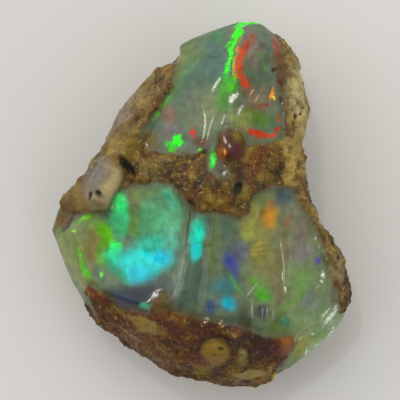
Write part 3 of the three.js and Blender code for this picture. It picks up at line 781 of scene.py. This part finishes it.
def normals_of(piece):
    """The directions that the object's vertices face."""
    flat = np.empty(len(piece.data.vertices) * 3)
    piece.data.vertices.foreach_get("normal", flat)
    return flat.reshape(-1, 3)


def put_points(piece, points):
    """Moves the object's vertices to those places in mm."""
    piece.data.vertices.foreach_set("co", (points * MM).ravel())
    piece.data.update()


def weigh(piece, name, weights):
    """Stores weights as a vertex group."""
    group = piece.vertex_groups.new(name=name)
    for index, weight in enumerate(weights):
        if weight > 0:
            group.add([index], weight, "REPLACE")


def note(piece, name, values):
    """Stores a number at each vertex, which a material can read."""
    attribute = piece.data.attributes.new(name, "FLOAT", "POINT")
    attribute.data.foreach_set("value", values.astype(np.float32))


def smooth(low, high, values):
    """0 up to low, 1 from high, and an even curve between."""
    share = np.clip((values - low) / (high - low), 0, 1)
    return share * share * (3 - 2 * share)


def swell(points, size, octaves=2):
    """Noise at each point, about -1 to 1, with swells of that size in mm."""
    fade = 1.0  # how fast finer swells weaken
    finer = 2.0  # how much finer each octave is than the last one
    return np.array([noise.fractal(Vector(p) / size, fade, finer, octaves) for p in points])


def depth_inside(plan, border):
    """How far each point of a plan is inside a closed border. It is below 0 outside."""
    nearest = np.full(len(plan), np.inf)
    inside = np.zeros(len(plan), bool)
    x, y = plan.T
    for start, end in zip(border, border[1:] + border[:1]):
        a, step = np.array(start), np.array(end) - np.array(start)
        share = np.clip((plan - a) @ step / (step @ step), 0, 1)
        gap = plan - a - share[:, None] * step
        nearest = np.minimum(nearest, np.hypot(gap[:, 0], gap[:, 1]))
        if step[1]:
            spans = (start[1] > y) != (end[1] > y)
            inside ^= spans & (x < start[0] + (y - start[1]) * step[0] / step[1])
    return np.where(inside, nearest, -nearest)


def heading(turn):
    """The directions across and along a shape that is turned clockwise from +Y."""
    angle = math.radians(turn)
    return (math.cos(angle), -math.sin(angle)), (math.sin(angle), math.cos(angle))


# ------------------------------------------------------------------------- the stone


def rock_depth(points):
    """How deep in host rock each point of the skin is, in mm. It is below 0 in a window."""
    below = np.maximum(TOP_Z - points[:, 2], 0) * TOP_CLOSES
    opal = np.max([depth_inside(points[:, :2], border) for border in WINDOWS.values()], axis=0)
    opal = opal - below
    ragged = sum(swell(points, size) * reach for size, reach in SIDE_WANDER)
    for ball in SIDE_WINDOWS.values():
        reach = ball.radius - np.linalg.norm(points - np.array(ball.at), axis=1)
        opal = np.maximum(opal, reach + ragged)
    for size, reach in WANDER:
        opal = opal + swell(points, size) * reach
    return -opal


def dabbed(points):
    """The points with the mounds raised and the hollows sunk."""
    raised = points.copy()
    above = smooth(*UPPER_RELIEF, points[:, 2])
    for dab in DABS.values():
        across, along = heading(dab.turn)
        offset = points[:, :2] - np.array(dab.at)
        u, v = offset @ across / dab.half[0], offset @ along / dab.half[1]
        reach = (np.abs(u) ** dab.power + np.abs(v) ** dab.power) ** (1 / dab.power)
        raised[:, 2] += dab.height * above * np.clip((1 - reach**2) / dab.edge, 0, 1)
    for chip in CHIPS_AND_PAINTED_GLINTS.values():
        across, along = heading(chip.turn)
        offset = points[:, :2] - np.array(chip.at)
        v = offset @ along / chip.half[1]
        u = (offset @ across + chip.bend * v * v * chip.half[0]) / max(chip.half[0], CHIP_WIDTH)
        raised[:, 2] += CHIP_HEIGHT * above * smooth(1, 0, np.hypot(u, v))
    return raised


def share_in(points, spots):
    """How much each point belongs to those spots on the upper side, from 0 to 1."""
    share = np.zeros(len(points))
    above = smooth(*UPPER_RELIEF, points[:, 2])
    for spot in spots.values():
        across, along = heading(spot.turn)
        offset = points[:, :2] - np.array(spot.at)
        reach = np.hypot(offset @ across / spot.half[0], offset @ along / spot.half[1])
        share = np.maximum(share, spot.strength * above * smooth(*SPOT_EDGE, reach))
    return share


def toned(points, base, shade, patches):
    """A tone for each point: the base or the shade, with patches over it on the upper side."""
    size, reach = TONE_DRIFT
    elsewhere = 50.0  # mm, so that the two drifts differ
    drift_x = swell(points, size, 1) * reach
    drift_y = swell(points + elsewhere, size, 1) * reach
    plan = points[:, :2] + np.stack([drift_x, drift_y], axis=1)
    above = smooth(*UPPER_COLOURS, points[:, 2])
    shaded = smooth(*SHADE_STEP, swell(points, SHADE_SIZE))[:, None]
    tone = np.array(base) + shaded * (np.array(shade) - np.array(base))
    for patch in patches.values():
        across, along = heading(patch.turn)
        offset = plan - np.array(patch.at)
        v = offset @ along / patch.half[1]
        u = offset @ across / patch.half[0] + patch.bend * v * v
        share = patch.strength * above * smooth(1 + patch.soft, 1 - patch.soft, np.hypot(u, v))
        tone += share[:, None] * (np.array(tint(patch.colour)) - tone)
    return tone


def note_colour(piece, name, colours):
    """Stores a colour at each vertex, which a material can read."""
    attribute = piece.data.attributes.new(name, "FLOAT_COLOR", "POINT")
    opaque = np.ones((len(colours), 1))
    attribute.data.foreach_set("color", np.hstack([colours, opaque]).astype(np.float32).ravel())


def add_relief(piece, reliefs, group):
    """Raises a vertex group by layers of noise."""
    for name, relief in reliefs.items():
        texture = bpy.data.textures.new(name, "CLOUDS")
        texture.noise_basis = "IMPROVED_PERLIN"
        texture.noise_scale = relief.size * MM
        texture.noise_depth = 1
        applied(
            piece,
            "DISPLACE",
            texture=texture,
            texture_coords="LOCAL",
            strength=relief.height * MM,
            vertex_group=group,
        )


def keep_outer_skin(piece):
    """Deletes the specks that a remesh leaves inside: all that isn't joined to the top."""
    top = int(points_of(piece)[:, 2].argmax())
    only(piece)
    bpy.ops.object.mode_set(mode="EDIT")
    bpy.ops.mesh.select_mode(type="VERT")
    bpy.ops.mesh.select_all(action="DESELECT")
    bpy.ops.object.mode_set(mode="OBJECT")
    piece.data.vertices[top].select = True
    bpy.ops.object.mode_set(mode="EDIT")
    bpy.ops.mesh.select_linked()
    bpy.ops.mesh.select_all(action="INVERT")
    bpy.ops.mesh.delete(type="VERT")
    bpy.ops.object.mode_set(mode="OBJECT")


def build_stone(settings):
    """A finer skin for the CAD stone, with grainy rock and rippled opal."""
    only(CAD_STONE)
    bpy.ops.object.duplicate()
    stone = bpy.context.object
    stone.name = stone.data.name = "opal_stone"
    stone.parent = None
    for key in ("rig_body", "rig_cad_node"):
        del stone[key]
    stone.data.materials.clear()
    only(stone)
    bpy.ops.object.mode_set(mode="EDIT")
    bpy.ops.mesh.select_all(action="SELECT")
    bpy.ops.mesh.remove_doubles(threshold=MERGED * MM)
    bpy.ops.object.mode_set(mode="OBJECT")
    applied(stone, "REMESH", mode="VOXEL", voxel_size=settings.skin)
    keep_outer_skin(stone)
    applied(stone, "SMOOTH", factor=EASE, iterations=settings.worn)
    depth = rock_depth(points_of(stone))
    rock = smooth(*ROCK_EDGE, depth)
    weigh(stone, "rock", rock)
    weigh(stone, "opal", 1 - rock)
    applied(stone, "SMOOTH", factor=EASE, iterations=ROCK_EASED, vertex_group="rock")
    even = points_of(stone)
    outwards = normals_of(stone)
    calm = share_in(even, CALM)
    weigh(stone, "rough", rock * (1 - calm))
    applied(stone, "DISPLACE", strength=settings.rock_proud, mid_level=0, vertex_group="rock")
    add_relief(stone, ROCK_RELIEFS, "rough")
    add_relief(stone, OPAL_RELIEFS, "opal")
    points = points_of(stone)
    note(stone, "relief", np.sum((points - even) * outwards, axis=1))
    points = dabbed(points)
    points[:, 2] = np.maximum(points[:, 2], 0)
    put_points(stone, points)
    note(stone, "rock_depth", depth)
    note(stone, "glassy", share_in(even, GLOSSES))
    note(stone, "calm", calm)
    note_colour(stone, "opal_tone", toned(even, settings.body, tint(BODY_SHADE), BODY_TONES))
    note_colour(stone, "rock_tone", toned(even, settings.rock, tint(ROCK_SHADE), ROCK_TONES))
    bpy.ops.object.shade_smooth()
    return stone


# ------------------------------------------------------------------------- materials


def plug(tree, made, sockets):
    """Gives a node's sockets their values, or links them to another node's output."""
    for socket, value in sockets.items():
        if isinstance(value, bpy.types.NodeSocket):
            tree.links.new(value, made.inputs[socket])
        else:
            made.inputs[socket].default_value = value


def node(tree, kind, sockets=None, **settings):
    """A node with its settings, and its sockets' values."""
    made = tree.nodes.new(kind)
    for name, value in settings.items():
        setattr(made, name, value)
    plug(tree, made, sockets or {})
    return made


def maths(tree, operation, *values):
    """The result of one operation on numbers."""
    return node(tree, "ShaderNodeMath", dict(enumerate(values)), operation=operation).outputs[0]


def vectors(tree, operation, *values):
    """The result of one operation on vectors."""
    sockets = dict(enumerate(values))
    return node(tree, "ShaderNodeVectorMath", sockets, operation=operation).outputs[0]


def mix(tree, factor, first, second):
    """Blends two colours."""
    made = node(tree, "ShaderNodeMix", {0: factor, 6: first, 7: second}, data_type="RGBA")
    return made.outputs[2]


def ramp(tree, value, low, high, start=0.0, end=1.0):
    """The value after a smooth step."""
    sockets = {"Value": value, "From Min": low, "From Max": high, "To Min": start, "To Max": end}
    made = node(tree, "ShaderNodeMapRange", sockets, interpolation_type="SMOOTHSTEP")
    return made.outputs[0]


def noise_outputs(tree, name, place):
    """The outputs of one of the material's noises, over a place in mm."""
    kind = NOISES[name]
    sockets = {"Vector": place, "Scale": 1 / kind.size, "Detail": kind.detail}
    return node(tree, "ShaderNodeTexNoise", sockets).outputs


def attribute(tree, name):
    """The outputs for a number or a colour that is stored at the vertices."""
    return node(tree, "ShaderNodeAttribute", attribute_name=name).outputs


def rgba(code):
    """A tint with full opacity, as a colour socket takes it."""
    return [*tint(code), 1.0]


def patch_group():
    """A node group that lays one patch of colour over another colour."""
    group = bpy.data.node_groups.new("Patch of colour", "ShaderNodeTree")
    inputs = {
        "Under": "NodeSocketColor",
        "Place": "NodeSocketVector",
        "Mottle": "NodeSocketFloat",
        "Middle": "NodeSocketVector",
        "Across": "NodeSocketVector",
        "Along": "NodeSocketVector",
        "Bend": "NodeSocketFloat",
        "Softness": "NodeSocketFloat",
        "Strength": "NodeSocketFloat",
        "Colour": "NodeSocketColor",
    }
    for name, kind in inputs.items():
        group.interface.new_socket(name, in_out="INPUT", socket_type=kind)
    group.interface.new_socket("Over", in_out="OUTPUT", socket_type="NodeSocketColor")
    given = group.nodes.new("NodeGroupInput").outputs
    offset = vectors(group, "SUBTRACT", given["Place"], given["Middle"])
    u, v = [
        node(
            group, "ShaderNodeVectorMath", {0: offset, 1: given[way]}, operation="DOT_PRODUCT"
        ).outputs["Value"]
        for way in ("Across", "Along")
    ]
    v_squared = maths(group, "MULTIPLY", v, v)
    u_bent = maths(group, "MULTIPLY_ADD", v_squared, given["Bend"], u)
    reach = maths(group, "SQRT", maths(group, "MULTIPLY_ADD", u_bent, u_bent, v_squared))
    reach = maths(group, "ADD", reach, given["Mottle"])
    outer = maths(group, "ADD", 1.0, given["Softness"])
    inner = maths(group, "SUBTRACT", 1.0, given["Softness"])
    most = maths(group, "MULTIPLY_ADD", given["Mottle"], THINNED, given["Strength"])
    share = ramp(group, reach, outer, inner, 0.0, most)
    over = mix(group, share, given["Under"], given["Colour"])
    out = group.nodes.new("NodeGroupOutput")
    group.links.new(over, out.inputs["Over"])
    return group


def lay(tree, group, patches, place, mottle, under):
    """Lays patches over a colour, one after another. The mottle frays their edges."""
    for name, patch in patches.items():
        across, along = heading(patch.turn)
        sockets = {
            "Under": under,
            "Place": place,
            "Mottle": mottle,
            "Middle": (*patch.at, 0),
            "Across": (across[0] / patch.half[0], across[1] / patch.half[0], 0),
            "Along": (along[0] / patch.half[1], along[1] / patch.half[1], 0),
            "Bend": patch.bend,
            "Softness": patch.soft,
            "Strength": patch.strength,
            "Colour": rgba(patch.colour),
        }
        laid = tree.nodes.new("ShaderNodeGroup")
        laid.node_tree = group
        laid.label = name
        plug(tree, laid, sockets)
        under = laid.outputs["Over"]
    return under


def shaded(tree, colour, saturation, *lights):
    """A colour with its saturation changed, and its brightness scaled by the product of two
    factors. On the rock one of them is painted shade and light.
    """
    light = maths(tree, "MULTIPLY", *lights)
    sockets = {"Color": colour, "Saturation": saturation, "Value": light}
    return node(tree, "ShaderNodeHueSaturation", sockets).outputs[0]


class Fields(NamedTuple):
    """What more than one part of the material reads."""

    group: bpy.types.NodeTree
    place: bpy.types.NodeSocket  # in mm
    warp: bpy.types.NodeSocket  # the place moved by swells in the stone
    top: bpy.types.NodeSocket  # 1 on the upper side and 0 on the others
    depth: bpy.types.NodeSocket  # in host rock, in mm
    glassy: bpy.types.NodeSocket
    fine: bpy.types.NodeSocket
    grain: bpy.types.NodeSocket
    mottle: bpy.types.NodeSocket
    slight: bpy.types.NodeSocket  # a weak mottle


def fields_of(tree):
    """Sets up what the parts of the material read."""
    coordinates = node(tree, "ShaderNodeTexCoord").outputs["Object"]
    sockets = {0: coordinates, "Scale": 1 / MM}
    place = node(tree, "ShaderNodeVectorMath", sockets, operation="SCALE").outputs[0]
    height = node(tree, "ShaderNodeSeparateXYZ", {0: place}).outputs["Z"]
    warp = place
    for name, reach in WARPS.items():
        swells = noise_outputs(tree, name, place)["Color"]
        centred = vectors(tree, "SUBTRACT", swells, (0.5, 0.5, 0.5))
        warp = vectors(tree, "MULTIPLY_ADD", centred, (reach * 2, reach * 2, 0), warp)
    fine = noise_outputs(tree, "fine", place)["Fac"]
    mottle = ramp(tree, fine, *STEPS["mottle"])
    return Fields(
        group=patch_group(),
        place=place,
        warp=warp,
        top=ramp(tree, height, *UPPER_COLOURS),
        depth=attribute(tree, "rock_depth")["Fac"],
        glassy=attribute(tree, "glassy")["Fac"],
        fine=fine,
        grain=noise_outputs(tree, "grain", place)["Fac"],
        mottle=mottle,
        slight=maths(tree, "MULTIPLY", mottle, SLIGHT),
    )


def side_colour(tree, fields, body):
    """Broad play of colour over the opal's body."""
    sides = body
    for index, layer in enumerate(SIDE_LAYERS.values()):
        shift = Vector(SIDE_START) + Vector(SIDE_SHIFT) * index
        elsewhere = vectors(tree, "ADD", fields.place, shift)
        share = noise_outputs(tree, "side colours", elsewhere)["Fac"]
        share = maths(tree, "MULTIPLY_ADD", fields.mottle, SIDE_FRAY, share)
        share = ramp(tree, share, layer.low, layer.high, 0.0, layer.strength)
        sides = mix(tree, share, sides, rgba(layer.colour))
    return sides


def opal_colour(tree, fields):
    """Opal's colour, and how vivid it is, which sets its painted glow: a milky body, with play of
    colour and chips over it, the chips with painted highlights.
    """
    clumps = ramp(tree, noise_outputs(tree, "clumps", fields.place)["Fac"], *STEPS["clumps"])
    clumped = maths(tree, "MULTIPLY", maths(tree, "ADD", clumps, fields.mottle), CLUMPED)
    body = attribute(tree, "opal_tone")["Color"]
    upper = lay(tree, fields.group, GLOWS, fields.warp, fields.slight, body)
    upper = lay(tree, fields.group, FLASHES, fields.warp, clumped, upper)
    # The chips' pale colours are painted highlights.
    upper = lay(tree, fields.group, CHIPS_AND_PAINTED_GLINTS, fields.place, fields.mottle, upper)
    opal = mix(tree, fields.top, side_colour(tree, fields, body), upper)
    opal = mix(tree, ramp(tree, fields.depth, *STEPS["haze"]), opal, rgba(HAZE))
    _, saturation, value = node(tree, "ShaderNodeSeparateColor", {0: opal}, mode="HSV").outputs
    vivid = ramp(tree, maths(tree, "MULTIPLY", saturation, value), *STEPS["vivid"])
    veil = ramp(tree, noise_outputs(tree, "veil", fields.place)["Fac"], *STEPS["veil"])
    drawn_out = vectors(tree, "MULTIPLY", fields.place, FIBRE_STRETCH)
    fibre = ramp(tree, noise_outputs(tree, "fibre", drawn_out)["Fac"], *STEPS["fibre"])
    return shaded(tree, opal, OPAL_SATURATION, veil, fibre), vivid


def rock_colour(tree, fields):
    """Host rock's colour: lumps and grain where it is rough, with clasts, pits and nodules. It has
    painted shade in its pits and in the hollows of its relief, painted light on its knobs, and
    painted highlights at its glints.
    """
    calm = attribute(tree, "calm")["Fac"]
    rough_share = maths(tree, "SUBTRACT", 1.0, maths(tree, "MAXIMUM", fields.glassy, calm))
    lumps = noise_outputs(tree, "lumps", fields.place)["Color"]
    first, second, third = node(tree, "ShaderNodeSeparateColor", {0: lumps}).outputs
    noises = {
        "pale lumps": first,
        "rust lumps": second,
        "dark lumps": third,
        "pale grain": fields.grain,
        "dark grain": fields.grain,
        "flecks": maths(tree, "ADD", fields.grain, fields.fine),
    }
    rock = attribute(tree, "rock_tone")["Color"]
    for name, layer in ROCK_LAYERS.items():
        share = ramp(tree, noises[name], layer.low, layer.high, 0.0, layer.strength)
        share = maths(tree, "MULTIPLY", share, rough_share)
        rock = mix(tree, share, rock, rgba(layer.colour))
    # Painted shade in the pits and painted highlights at the glints, with the rock's clasts and
    # nodules.
    stains_and_painted_light = lay(tree, fields.group, STAINS_AND_PAINTED_LIGHT, fields.warp, fields.slight, rock)
    rock = mix(tree, fields.top, rock, stains_and_painted_light)
    relief = attribute(tree, "relief")["Fac"]
    fine_shade = ramp(tree, fields.fine, *STEPS["fine shade"])
    # Painted shade and light: darker in the relief's hollows, lighter on its knobs.
    relief_shade = ramp(tree, relief, *STEPS["relief shade"])
    return shaded(tree, rock, ROCK_SATURATION, fine_shade, relief_shade)


def roughness(tree, fields, host, gloss):
    """Dull grainy rock, glassier in places, and glossy opal."""
    polish = maths(tree, "MULTIPLY_ADD", fields.glassy, POLISH, 1.0)
    grainy = ramp(tree, fields.grain, *STEPS["rock roughness"])
    rock = maths(tree, "MULTIPLY", grainy, polish)
    opal = maths(tree, "MULTIPLY_ADD", fields.fine, gloss, gloss / 2)
    made = node(tree, "ShaderNodeMix", {0: host, 2: opal, 3: rock}, data_type="FLOAT")
    return made.outputs[0]


def rock_bump(tree, fields, host):
    """The finest grain, on the rock alone."""
    sockets = {
        "Height": noise_outputs(tree, "bumps", fields.place)["Fac"],
        "Strength": maths(tree, "MULTIPLY", host, BUMP),
        "Distance": BUMP_HEIGHT * MM,
    }
    return node(tree, "ShaderNodeBump", sockets).outputs[0]


def stone_material(settings):
    """Opal and host rock in one material, because they are grown together."""
    material = bpy.data.materials.new("Opal in host rock")
    material.use_nodes = True
    tree = material.node_tree
    fields = fields_of(tree)
    opal, vivid = opal_colour(tree, fields)
    rock = rock_colour(tree, fields)

    # The grain makes the border between them ragged.
    depth = maths(tree, "SUBTRACT", fields.depth, HOST_DEPTH)
    ragged = maths(tree, "MULTIPLY_ADD", fields.grain, HOST_GRAIN, depth)
    host = ramp(tree, ragged, *STEPS["host"])
    colour = mix(tree, host, opal, rock)

    # Painted glow: vivid opal is given a little emission of its own colour, though it gives no
    # light.
    glow = maths(tree, "MULTIPLY", vivid, settings.glow)
    glow = maths(tree, "MULTIPLY", glow, maths(tree, "SUBTRACT", 1.0, host))

    sockets = {
        "Base Color": colour,
        "Roughness": roughness(tree, fields, host, settings.gloss),
        "Normal": rock_bump(tree, fields, host),
        "Emission Color": colour,
        "Emission Strength": glow,
        "IOR": IOR,
        "Subsurface Weight": SCATTER,
        "Subsurface Radius": SCATTER_REACH,
        "Subsurface Scale": SCATTER_DEPTH * MM,
    }
    plug(tree, tree.nodes["Principled BSDF"], sockets)
    return material


# ------------------------------------------------------------------------- the studio


class Softbox(NamedTuple):
    """An area lamp: place and width in metres, power in watts."""

    at: tuple
    width: float
    power: float


SOFTBOXES = {
    "key": Softbox((-0.40, 0.36, 0.42), 1.1, 3.8),
    "fill": Softbox((0.46, -0.24, 0.38), 0.9, 1.2),
    "back": Softbox((0.20, 0.46, 0.34), 0.7, 0.8),
    "spark": Softbox((-0.09, 0.20, 0.50), 0.012, 0.14),
}
FLOOR_WIDTH = 4.0  # metres
FLOOR_ROUGHNESS = 0.8
SENSOR = 36.0  # width of the camera's sensor, in mm
FOCUS_HEIGHT = 4.5  # of the stone's middle, in mm
CAMERA_Y = 0.3  # mm
CLIP = (0.001, 10.0)  # metres


def build_floor(settings):
    """A plain floor under the stone."""
    bpy.ops.object.select_all(action="DESELECT")
    bpy.ops.mesh.primitive_plane_add(size=FLOOR_WIDTH)
    floor = bpy.context.object
    floor.name = "floor"
    paint = bpy.data.materials.new("Pale floor")
    paint.use_nodes = True
    shader = paint.node_tree.nodes["Principled BSDF"]
    shader.inputs["Base Color"].default_value = [*settings.floor, 1.0]
    shader.inputs["Roughness"].default_value = FLOOR_ROUGHNESS
    floor.data.materials.append(paint)


def build_lights(settings):
    """Lamps that face the stone, and light from all round."""
    for name, box in SOFTBOXES.items():
        bpy.ops.object.light_add(type="AREA", location=box.at)
        lamp = bpy.context.object
        lamp.name = f"softbox_{name}"
        lamp.data.shape = "SQUARE"
        lamp.data.size = box.width
        lamp.data.energy = box.power
        lamp.rotation_euler = Vector(box.at).to_track_quat("Z", "Y").to_euler()

    world = bpy.data.worlds.new("Studio")
    world.use_nodes = True
    sky = world.node_tree.nodes["Background"]
    sky.inputs["Color"].default_value = [*settings.floor, 1.0]
    sky.inputs["Strength"].default_value = settings.ambient
    bpy.context.scene.world = world


def build_camera(settings):
    """A camera that looks straight down."""
    distance = settings.view_width * settings.lens / SENSOR
    bpy.ops.object.camera_add(location=(0, CAMERA_Y * MM, FOCUS_HEIGHT * MM + distance))
    camera = bpy.context.object
    camera.data.lens = settings.lens
    camera.data.sensor_width = SENSOR
    camera.data.clip_start, camera.data.clip_end = CLIP
    bpy.context.scene.camera = camera
    bpy.context.scene.view_settings.view_transform = "Standard"


# ------------------------------------------------------------------------- the add-on


class OPAL_OT_stone(bpy.types.Operator):
    """Builds the rough opal with its host rock"""

    bl_idname = "opal.stone"
    bl_label = "Rough opal"

    def execute(self, context):
        settings = context.scene.opal_stone
        stone = build_stone(settings)
        stone.data.materials.append(stone_material(settings))
        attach(stone, "root")
        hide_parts("rough_opal")
        return {"FINISHED"}


class OPAL_OT_studio(bpy.types.Operator):
    """Sets up the floor, the lamps and the camera"""

    bl_idname = "opal.studio"
    bl_label = "Studio"

    def execute(self, context):
        settings = context.scene.opal_studio
        build_floor(settings)
        build_lights(settings)
        build_camera(settings)
        return {"FINISHED"}


class OPAL_PT_panel(bpy.types.Panel):
    """Lists the operators and their settings"""

    bl_idname = "OPAL_PT_panel"
    bl_label = "Rough opal"
    bl_space_type = "VIEW_3D"
    bl_region_type = "UI"
    bl_category = "Rough opal"

    def draw(self, context):
        for settings, operator in (
            (context.scene.opal_stone, OPAL_OT_stone),
            (context.scene.opal_studio, OPAL_OT_studio),
        ):
            box = self.layout.box()
            for name in settings.__annotations__:
                box.prop(settings, name)
            box.operator(operator.bl_idname)


CLASSES = (StoneSettings, StudioSettings, OPAL_OT_stone, OPAL_OT_studio, OPAL_PT_panel)


def register():
    for kind in CLASSES:
        bpy.utils.register_class(kind)
    bpy.types.Scene.opal_stone = PointerProperty(type=StoneSettings)
    bpy.types.Scene.opal_studio = PointerProperty(type=StudioSettings)


def unregister():
    del bpy.types.Scene.opal_studio
    del bpy.types.Scene.opal_stone
    for kind in reversed(CLASSES):
        bpy.utils.unregister_class(kind)


def main():
    register()
    bpy.ops.opal.stone()
    bpy.ops.opal.studio()


if __name__ == "__main__":
    main()
